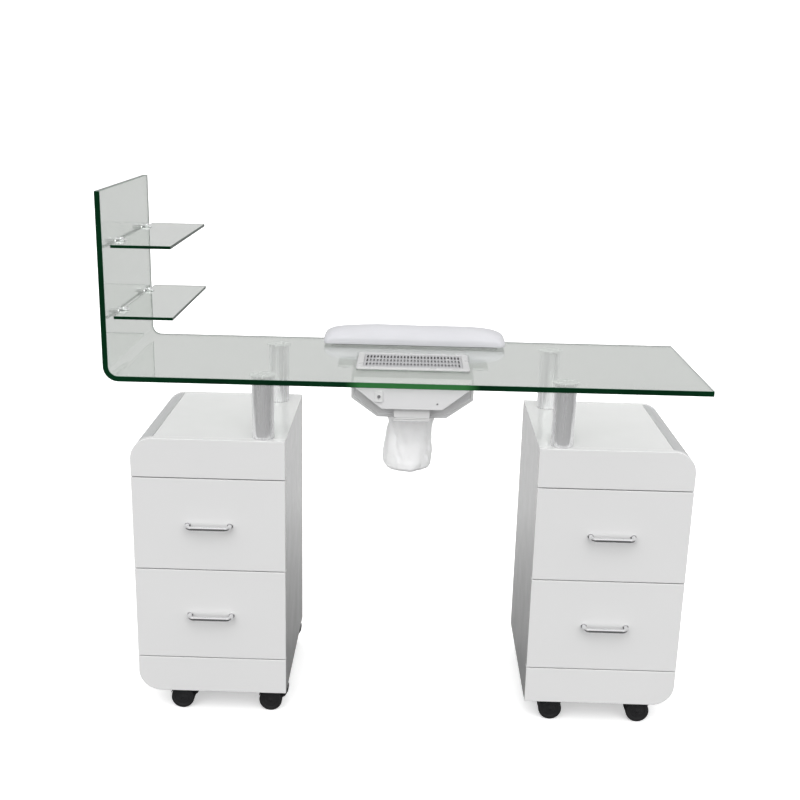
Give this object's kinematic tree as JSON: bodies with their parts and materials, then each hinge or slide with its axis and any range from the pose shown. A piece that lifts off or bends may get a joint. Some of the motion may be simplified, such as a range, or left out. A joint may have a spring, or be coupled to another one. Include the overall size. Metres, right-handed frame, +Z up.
{
  "type": "manicure table",
  "caption": "Manicure table with a bent glass top and upright shelf panel, twin drawer cabinets on casters, a wrist rest and an under-top dust collector with a hanging bag.",
  "frame": {"origin": "floor level, under the middle of the table's bounding box", "axes": "+X along the table away from the upright glass panel, +Y from the technician's drawer side to the customer's side, +Z up"},
  "size_m": [1.2, 0.452, 1.11],
  "materials": {
    "glass": "clear, green at the edges",
    "chrome": "mirror polished",
    "brushed_steel": "satin polished tube",
    "white_lacquer": "white gloss lacquer on board",
    "silver_laminate": "silver-grey laminate on bent board",
    "drawer_liner": "matt white foil on board",
    "white_housing": "satin white",
    "white_vinyl": "padded white vinyl",
    "white_cloth": "thin woven filter cloth",
    "black_plastic": "satin black"
  },
  "bodies": {
    "table": {"glass_top": "glass", "shelf_upper": "glass", "shelf_lower": "glass", "clip_upper_near": "chrome", "clip_upper_far": "chrome", "clip_lower_near": "chrome", "clip_lower_far": "chrome", "armrest_base": "black_plastic", "armrest_cushion": "white_vinyl", "vent_frame": "white_housing", "vent_grille": "white_housing", "collector_hopper": "white_housing", "collector_cover": "white_housing", "switch_plate": "white_housing", "fan_collar": "white_housing", "dust_bag": "white_cloth", "post_left_front": "brushed_steel", "post_left_rear": "brushed_steel", "carcass_left": "white_lacquer", "wrap_left": "silver_laminate", "back_left": "white_lacquer", "fascia_top_left": "white_lacquer", "fascia_bottom_left": "white_lacquer", "post_right_front": "brushed_steel", "post_right_rear": "brushed_steel", "carcass_right": "white_lacquer", "wrap_right": "silver_laminate", "back_right": "white_lacquer", "fascia_top_right": "white_lacquer", "fascia_bottom_right": "white_lacquer"},
    "drawer_left_lower": {"drawer_front_left_lower": "white_lacquer", "drawer_box_left_lower": "drawer_liner", "handle_left_lower": "chrome"},
    "drawer_left_upper": {"drawer_front_left_upper": "white_lacquer", "drawer_box_left_upper": "drawer_liner", "handle_left_upper": "chrome"},
    "drawer_right_lower": {"drawer_front_right_lower": "white_lacquer", "drawer_box_right_lower": "drawer_liner", "handle_right_lower": "chrome"},
    "drawer_right_upper": {"drawer_front_right_upper": "white_lacquer", "drawer_box_right_upper": "drawer_liner", "handle_right_upper": "chrome"},
    "fan": {"fan_rotor": "black_plastic"},
    "button": {"switch_button": "black_plastic"},
    "swivel_left_front_1": {"caster_hood_left_front_1": "black_plastic"},
    "wheels_left_front_1": {"caster_wheels_left_front_1": "black_plastic"},
    "swivel_left_front_2": {"caster_hood_left_front_2": "black_plastic"},
    "wheels_left_front_2": {"caster_wheels_left_front_2": "black_plastic"},
    "swivel_left_rear_1": {"caster_hood_left_rear_1": "black_plastic"},
    "wheels_left_rear_1": {"caster_wheels_left_rear_1": "black_plastic"},
    "swivel_left_rear_2": {"caster_hood_left_rear_2": "black_plastic"},
    "wheels_left_rear_2": {"caster_wheels_left_rear_2": "black_plastic"},
    "swivel_right_front_1": {"caster_hood_right_front_1": "black_plastic"},
    "wheels_right_front_1": {"caster_wheels_right_front_1": "black_plastic"},
    "swivel_right_front_2": {"caster_hood_right_front_2": "black_plastic"},
    "wheels_right_front_2": {"caster_wheels_right_front_2": "black_plastic"},
    "swivel_right_rear_1": {"caster_hood_right_rear_1": "black_plastic"},
    "wheels_right_rear_1": {"caster_wheels_right_rear_1": "black_plastic"},
    "swivel_right_rear_2": {"caster_hood_right_rear_2": "black_plastic"},
    "wheels_right_rear_2": {"caster_wheels_right_rear_2": "black_plastic"}
  },
  "joints": [
    {"name": "drawer_left_lower_slide", "type": "slide", "parent": "table", "child": "drawer_left_lower", "axis": [0, -1, 0], "range_m": [0, 0.3]},
    {"name": "drawer_left_upper_slide", "type": "slide", "parent": "table", "child": "drawer_left_upper", "axis": [0, -1, 0], "range_m": [0, 0.3]},
    {"name": "drawer_right_lower_slide", "type": "slide", "parent": "table", "child": "drawer_right_lower", "axis": [0, -1, 0], "range_m": [0, 0.3]},
    {"name": "drawer_right_upper_slide", "type": "slide", "parent": "table", "child": "drawer_right_upper", "axis": [0, -1, 0], "range_m": [0, 0.3]},
    {"name": "fan_spin", "type": "hinge", "parent": "table", "child": "fan", "pos_m": [0.0105, -0.031, 0.653], "axis": [0, 0, 1], "continuous": true},
    {"name": "button_press", "type": "slide", "parent": "table", "child": "button", "axis": [0, 1, 0], "range_m": [0, 0.0012], "stiffness_N_per_m": 400},
    {"name": "swivel_left_front_1", "type": "hinge", "parent": "table", "child": "swivel_left_front_1", "pos_m": [-0.464, -0.148, 0.054], "axis": [0, 0, 1], "continuous": true},
    {"name": "roll_left_front_1", "type": "hinge", "parent": "swivel_left_front_1", "child": "wheels_left_front_1", "pos_m": [-0.474, -0.148, 0.025], "axis": [0, 1, 0], "continuous": true},
    {"name": "swivel_left_front_2", "type": "hinge", "parent": "table", "child": "swivel_left_front_2", "pos_m": [-0.271, -0.148, 0.054], "axis": [0, 0, 1], "continuous": true},
    {"name": "roll_left_front_2", "type": "hinge", "parent": "swivel_left_front_2", "child": "wheels_left_front_2", "pos_m": [-0.281, -0.148, 0.025], "axis": [0, 1, 0], "continuous": true},
    {"name": "swivel_left_rear_1", "type": "hinge", "parent": "table", "child": "swivel_left_rear_1", "pos_m": [-0.464, 0.173, 0.054], "axis": [0, 0, 1], "continuous": true},
    {"name": "roll_left_rear_1", "type": "hinge", "parent": "swivel_left_rear_1", "child": "wheels_left_rear_1", "pos_m": [-0.474, 0.173, 0.025], "axis": [0, 1, 0], "continuous": true},
    {"name": "swivel_left_rear_2", "type": "hinge", "parent": "table", "child": "swivel_left_rear_2", "pos_m": [-0.271, 0.173, 0.054], "axis": [0, 0, 1], "continuous": true},
    {"name": "roll_left_rear_2", "type": "hinge", "parent": "swivel_left_rear_2", "child": "wheels_left_rear_2", "pos_m": [-0.281, 0.173, 0.025], "axis": [0, 1, 0], "continuous": true},
    {"name": "swivel_right_front_1", "type": "hinge", "parent": "table", "child": "swivel_right_front_1", "pos_m": [0.34, -0.148, 0.054], "axis": [0, 0, 1], "continuous": true},
    {"name": "roll_right_front_1", "type": "hinge", "parent": "swivel_right_front_1", "child": "wheels_right_front_1", "pos_m": [0.33, -0.148, 0.025], "axis": [0, 1, 0], "continuous": true},
    {"name": "swivel_right_front_2", "type": "hinge", "parent": "table", "child": "swivel_right_front_2", "pos_m": [0.53, -0.148, 0.054], "axis": [0, 0, 1], "continuous": true},
    {"name": "roll_right_front_2", "type": "hinge", "parent": "swivel_right_front_2", "child": "wheels_right_front_2", "pos_m": [0.52, -0.148, 0.025], "axis": [0, 1, 0], "continuous": true},
    {"name": "swivel_right_rear_1", "type": "hinge", "parent": "table", "child": "swivel_right_rear_1", "pos_m": [0.34, 0.173, 0.054], "axis": [0, 0, 1], "continuous": true},
    {"name": "roll_right_rear_1", "type": "hinge", "parent": "swivel_right_rear_1", "child": "wheels_right_rear_1", "pos_m": [0.33, 0.173, 0.025], "axis": [0, 1, 0], "continuous": true},
    {"name": "swivel_right_rear_2", "type": "hinge", "parent": "table", "child": "swivel_right_rear_2", "pos_m": [0.53, 0.173, 0.054], "axis": [0, 0, 1], "continuous": true},
    {"name": "roll_right_rear_2", "type": "hinge", "parent": "swivel_right_rear_2", "child": "wheels_right_rear_2", "pos_m": [0.52, 0.173, 0.025], "axis": [0, 1, 0], "continuous": true}
  ]
}
